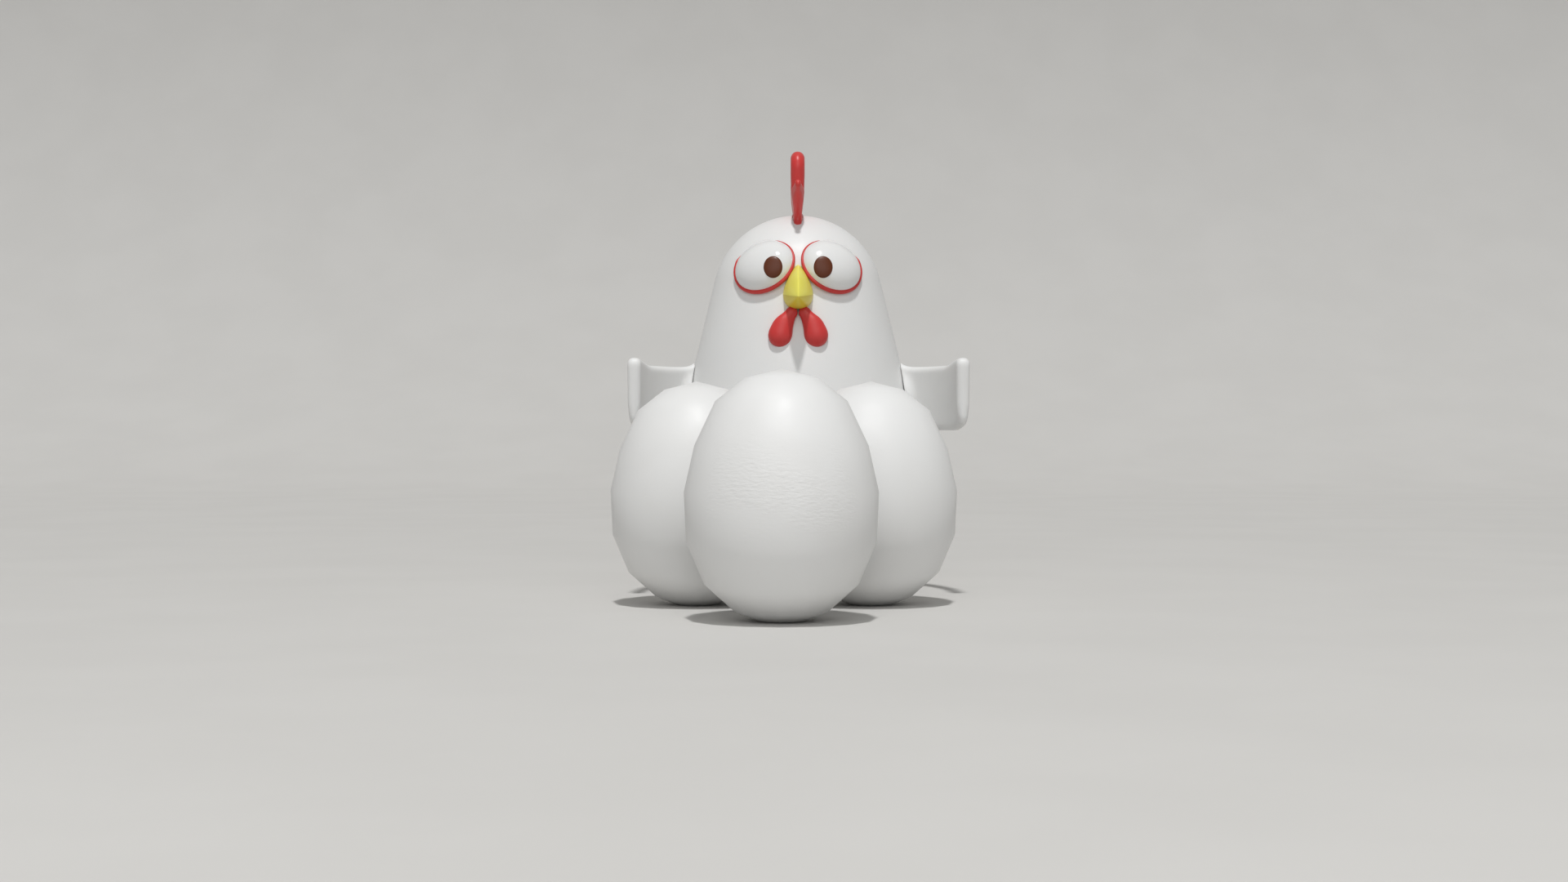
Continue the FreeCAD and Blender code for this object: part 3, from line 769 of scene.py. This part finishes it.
COMB_NUB_Y = -15.0
COMB_NUB_RUN = 3.5
COMB_NUB_HALF = 0.8
COMB_FOLD_DEPTH = 0.26
COMB_FOLD_BEHIND_Y = -8.0
COMB_FOLD_TOP_Z = 110.0
COMB_SINK = 1.5
COLLAR_R = 1.4
COLLAR_INSET = 2.6
COLLAR_LIFT = 0.4


def finger(q, low, high):
    """A flat finger's outline in the middle plane: a disc at each end and the tangents between."""
    flat = np.stack([np.zeros(len(q)), q[:, 0], q[:, 1]], 1)
    return round_cone(flat, (0, *low[:2]), low[2], (0, *high[:2]), high[2])


def comb(p):
    """Three round-edged fingers, thin at the root, on a collar that hugs the crown."""
    side = p[:, 1:]
    outline = np.linalg.norm(side - COMB_ROOT[:2], axis=1) - COMB_ROOT[2]
    for low, high in COMB_FINGERS:
        outline = smooth_min(outline, finger(side, low, high), 1.6)
    heights, widths = np.array(COMB_WIDTHS).T
    half = np.interp(p[:, 2], heights, widths) / 2
    nub = ramped(COMB_NUB_Y - p[:, 1], COMB_NUB_RUN)
    half = half * (1 - nub) + COMB_NUB_HALF * nub
    across = np.abs(p[:, 0])
    folds = np.exp(-((across / 0.28) ** 2)) + 0.7 * np.exp(-(((across - 0.55 * half) / 0.22) ** 2))
    front = ramped(COMB_FOLD_BEHIND_Y - p[:, 1], 3) * ramped(COMB_FOLD_TOP_Z - p[:, 2], 2)
    outline = outline + COMB_FOLD_DEPTH * folds * front
    plate = np.hypot(np.maximum(outline + half, 0), p[:, 0]) - half
    head = ball(p, HEAD_CENTRE, HEAD_R)
    wave = 0.12 * np.sin(p[:, 1] * 1.7 + 0.7) + 0.06 * np.sin(p[:, 1] * 4.3 + np.sign(p[:, 0]))
    collar = np.hypot(np.maximum(outline + COLLAR_INSET, 0), p[:, 0]) - COLLAR_R - wave
    collar = smooth_max(collar, head - COLLAR_LIFT, 0.4)
    return smooth_max(smooth_min(plate, collar, 0.3), -head - COMB_SINK, 0.4)


def make_comb(material):
    points, faces = net(comb, (-3, -24, 94), (3, 16, 122), cell=0.36)
    piece("comb_look", points, faces, material, "hen", "red_vinyl", ["comb"])


# ---------------------------------------------------------------- wings

WING_PATH = [
    (27.4, -1.2), (30.9, -6.4), (34.7, -12.5), (38.0, -19.0),
    (40.4, -25.8), (41.9, -32.5), (42.7, -40.0), (42.8, -46.3),
]
WING_T = 3.0
WING_BOTTOM = 43.5
WING_TOP = 61.0
WING_TIP_RUN = 9.0
WING_TIP_SWELL = 0.45
WING_RISE = 1.5
WING_RISE_START = 22.0
WING_RISE_RUN = 14.0
WING_LIFT = 0.11
WING_LIFT_RUN = 14.0
WING_ROOT_FLARE = 1.4
HUB_HALVES = (4.9, 5.4, 2.9)
HUB_OUT = 0.4


def wing_line():
    """The wing's centreline in plan, closely sampled along a smooth curve through its points."""
    path = np.array(WING_PATH)
    fine = np.linspace(0, len(path) - 1, 90)
    return np.stack([smooth_curve(path[:, k], fine) for k in range(2)], 1)


def smooth_curve(y, at):
    """Catmull-Rom values through evenly spaced points."""
    padded = np.concatenate([[2 * y[0] - y[1]], y, [2 * y[-1] - y[-2]]])
    i = np.clip(at.astype(int), 0, len(y) - 2)
    t = at - i
    a, b, c, d = (padded[i + k] for k in range(4))
    return 0.5 * (2 * b + (c - a) * t + (2 * a - 5 * b + 4 * c - d) * t**2 + (3 * b - a - 3 * c + d) * t**3)


LINE = wing_line()
LINE_RUN = LINE[1:] - LINE[:-1]
LINE_LENGTHS = np.linalg.norm(LINE_RUN, axis=1)
LINE_STARTS = np.concatenate([[0], np.cumsum(LINE_LENGTHS)])


def wing_plate(p):
    """A bent plate with soft edges, a little thicker and taller at its tip."""
    best = np.full(len(p), 1e9)
    along = np.zeros(len(p))
    for k, (start, run, size) in enumerate(zip(LINE[:-1], LINE_RUN, LINE_LENGTHS)):
        q = p[:, :2] - start
        t = q @ run / size**2
        last = k == len(LINE_RUN) - 1
        first = k == 0
        held = np.clip(t, None if first else 0, None if last else 1)
        away = np.linalg.norm(q - np.outer(held, run), axis=1)
        nearer = away < best
        best = np.where(nearer, away, best)
        along = np.where(nearer, LINE_STARTS[k] + held * size, along)
    total = LINE_STARTS[-1]
    tip = ramped(along - total + WING_TIP_RUN, WING_TIP_RUN)
    swell = eased(ramped(along - total + WING_RISE_START, WING_RISE_RUN))
    from_root = np.maximum((p - WING_POINT) @ WING_OUT - WING_GAP, 0)
    root = WING_ROOT_FLARE * np.exp(-from_root / WING_ROOT_FLARE)
    low = np.clip((WING_TOP - p[:, 2]) / (WING_TOP - WING_BOTTOM), 0, 1)
    cap = np.exp(-(((p[:, 2] - WING_TOP - 0.4) / 1.2) ** 2))
    thick = WING_T / 2 + (WING_TIP_SWELL - 0.15 * low + 0.2 * cap) * tip**2 + 0.5 * root
    best = best + np.clip(low - 0.62, 0, 1) * 2.2 * tip
    rise = WING_RISE * swell + root
    mid = (WING_TOP + WING_BOTTOM) / 2
    half = (WING_TOP - WING_BOTTOM) / 2
    lift = WING_LIFT * np.clip(along - total + WING_LIFT_RUN, 0, WING_LIFT_RUN)
    height = np.maximum(p[:, 2] - mid - half - rise, mid - half + lift - p[:, 2])
    ends = along - total + 0.06 * (WING_TOP - p[:, 2])
    outline = smooth_max(height, ends, 2.4)
    return smooth_max(best - thick, outline, 1.8)


def wing(p):
    """The wing with a rounded hub at its flat root, and the neck and flange that hold it in the shell."""
    level = unit(np.cross((0, 0, 1), WING_OUT))
    axes = [level, np.cross(WING_OUT, level), WING_OUT]
    hub = ellipsoid(p, WING_POINT + WING_OUT * HUB_OUT, axes, HUB_HALVES)
    plate = smooth_min(wing_plate(p), hub, 3.0)
    plate = smooth_max(plate, -((p - WING_POINT) @ WING_OUT - WING_GAP), 0.3)
    inner = WING_POINT - WING_OUT * (WALL + FLANGE_GAP)
    neck = rod(p, inner - WING_OUT * FLANGE_T, WING_POINT + WING_OUT * NECK_OUT, NECK_R)
    flange = rod(p, inner - WING_OUT * FLANGE_T, inner, FLANGE_R)
    return smooth_min(smooth_min(plate, neck, 0.3), flange, 0.3)


def make_wings(material):
    points, faces = net(wing, (20, -49, 40), (49, 4, 64), cell=0.5)
    pair("wing", points, faces, material, "wing", "white_vinyl")


# ---------------------------------------------------------------- eggs

EGG_RINGS = [(2.0, 10.7), (8.2, 17.7), (18.1, 21.9), (29.5, 22.4), (40.2, 20.0), (50.4, 15.2), (55.7, 8.4)]
EGG_HEIGHT = 57.8
EGG_SIDES = 16
EGG_FOOT_R = 5.5
EGG_PLUG_R = 4.0


def egg_mesh(size):
    """A sixteen-sided egg, open at the foot for its plug."""
    rings = [(2.5, EGG_PLUG_R), (0.0, EGG_PLUG_R), (0.0, EGG_FOOT_R)]
    rings += [(z * size, radius * size) for z, radius in EGG_RINGS]
    points = []
    for z, radius in rings:
        for k in range(EGG_SIDES):
            t = 2 * math.pi * k / EGG_SIDES
            points.append((radius * math.cos(t), radius * math.sin(t), z))
    points.append((0, 0, EGG_HEIGHT * size))
    faces = grid_faces(len(rings), EGG_SIDES, True)
    last = (len(rings) - 1) * EGG_SIDES
    for k in range(EGG_SIDES):
        faces.append((last + k, last + (k + 1) % EGG_SIDES, len(points) - 1))
    return np.array(points, float), faces


def make_eggs(material):
    for place in ("front", "left", "right"):
        low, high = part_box(f"egg_{place}_shell")
        middle = np.array((low + high) / 2) / MM
        points, faces = egg_mesh((high[2] - low[2]) / MM / EGG_HEIGHT)
        points = points + (middle[0], middle[1], 0)
        egg = f"egg_{place}"
        piece(f"{egg}_look", points, faces, material, egg, "egg_white", [f"{egg}_shell"])


# ---------------------------------------------------------------- scene

FLOOR_DROP = 0.15
FLOOR_REACH = 20000.0
SWEEP_START_Y = 900.0
SWEEP_R = 700.0
SWEEP_STEPS = 24
BACKDROP_H = 12000.0


def make_floor(material):
    """A wide pale floor that sweeps up behind."""
    profile = [(-FLOOR_REACH, 0.0), (SWEEP_START_Y, 0.0)]
    for i in range(1, SWEEP_STEPS + 1):
        turn = i / SWEEP_STEPS * math.pi / 2
        profile.append((SWEEP_START_Y + SWEEP_R * math.sin(turn), SWEEP_R * (1 - math.cos(turn))))
    profile.append((SWEEP_START_Y + SWEEP_R, BACKDROP_H))
    points = [(x, y, z - FLOOR_DROP) for y, z in profile for x in (-FLOOR_REACH, FLOOR_REACH)]
    faces = [f[::-1] for f in grid_faces(len(profile), 2, False)]
    mesh = bpy.data.meshes.new("floor")
    mesh.from_pydata((np.array(points) * MM).tolist(), [], faces)
    mesh.polygons.foreach_set("use_smooth", [True] * len(mesh.polygons))
    mesh.materials.append(material.material)
    floor = bpy.data.objects.new("floor", mesh)
    bpy.context.scene.collection.objects.link(floor)


def paint_cad_nodes(paints):
    """Gives every CAD node that stays a procedural material."""
    for name, node in frame["nodes"].items():
        slot = next(s["material_slot"] for s in frame["record"]["subparts"] if s["node"] == name)
        node.data.materials.clear()
        node.data.materials.append(paints[slot].material)


def main():
    add_camera()
    bpy.context.scene.view_settings.view_transform = "Standard"
    add_world(WORLD_COLOUR, WORLD_STRENGTH)
    add_sun("key", KEY_TOWARDS, KEY_STRENGTH, KEY_WIDTH_DEG)
    add_area_light("fill", FILL_PLACE, FILL_AIM, FILL_SIZE, FILL_POWER)
    paints = {
        "white_vinyl": vinyl("white_vinyl", (0.8, 0.8, 0.79), 0.45, 0.96, 1.0),
        "red_vinyl": vinyl("red_vinyl", (0.62, 0.045, 0.042), 0.36, 0.85, 2.0),
        "yellow_vinyl": vinyl("yellow_vinyl", (0.87, 0.8, 0.13), 0.36, 0.94, 3.0),
        # Lower mandible: darker and more orange than the upper one. The orange is its own colour; the
        # darkness is painted shade from the upper mandible over it.
        "dark_yellow_vinyl": vinyl("dark_yellow_vinyl", (0.8, 0.67, 0.055), 0.4, 0.93, 4.0),
        "eye_white": vinyl("eye_white", (0.8, 0.8, 0.79), 0.12, 0.98, 5.0),
        "pupil_brown": plastic("pupil_brown", (0.115, 0.03, 0.011), 0.34, 6.0, gloss=0.28),
        "egg_white": egg_white("egg_white", 7.0),
        "egg_plug_plastic": plastic("egg_plug_plastic", (0.7, 0.7, 0.69), 0.5, 8.0),
        "weight_iron": cast_iron("weight_iron"),
        "inner_plastic": plastic("inner_plastic", (0.6, 0.6, 0.58), 0.5, 9.0),
        "squeaker_plastic": plastic("squeaker_plastic", (0.75, 0.75, 0.72), 0.45, 10.0),
        "reed_film": plastic("reed_film", (0.5, 0.5, 0.48), 0.35, 11.0),
    }
    paint_cad_nodes(paints)
    make_floor(studio_paper("floor_paper"))
    make_body(paints["white_vinyl"])
    make_eyes(paints["eye_white"], paints["pupil_brown"], paints["red_vinyl"])
    make_beak(paints["yellow_vinyl"], paints["dark_yellow_vinyl"])
    make_wattles(paints["red_vinyl"])
    make_comb(paints["red_vinyl"])
    make_wings(paints["white_vinyl"])
    make_eggs(paints["egg_white"])


main()
